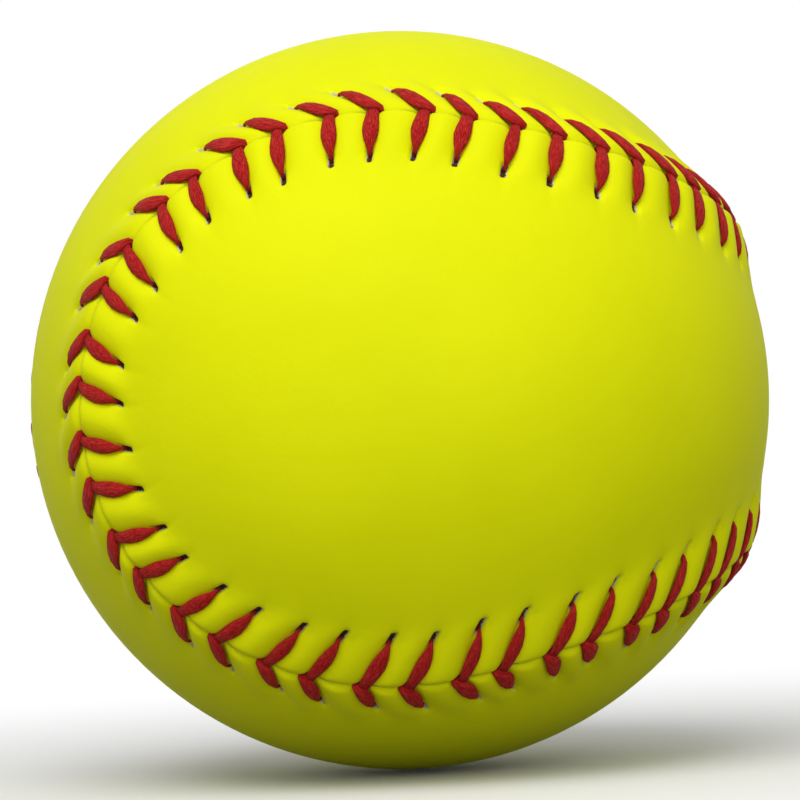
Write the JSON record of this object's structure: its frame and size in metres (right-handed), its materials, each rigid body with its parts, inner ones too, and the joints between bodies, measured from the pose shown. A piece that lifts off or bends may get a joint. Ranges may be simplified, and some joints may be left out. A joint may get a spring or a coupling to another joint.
{
  "type": "softball",
  "caption": "Round yellow softball with a moulded core inside two interlocking cover panels, sewn along a raised seam with red V-shaped stitches.",
  "frame": {"origin": "centre of the ball", "axes": "+X through the waist of cover panel A, -Y through the middle of its front lobe, +Z through the middle of panel B's upper lobe"},
  "size_m": [0.0982, 0.097, 0.097],
  "materials": {
    "core": "matte moulded foam",
    "cement": "dried cement film",
    "backing": "white fibre felt",
    "cover": "satin, finely grained synthetic leather",
    "thread": "waxed cotton thread"
  },
  "bodies": {
    "root": {"core": "core", "cement_film_a": "cement", "cement_film_b": "cement", "cover_backing_a": "backing", "cover_backing_b": "backing", "cover_face_a": "cover", "cover_face_b": "cover", "thread_1": "thread", "thread_2": "thread"}
  },
  "joints": []
}
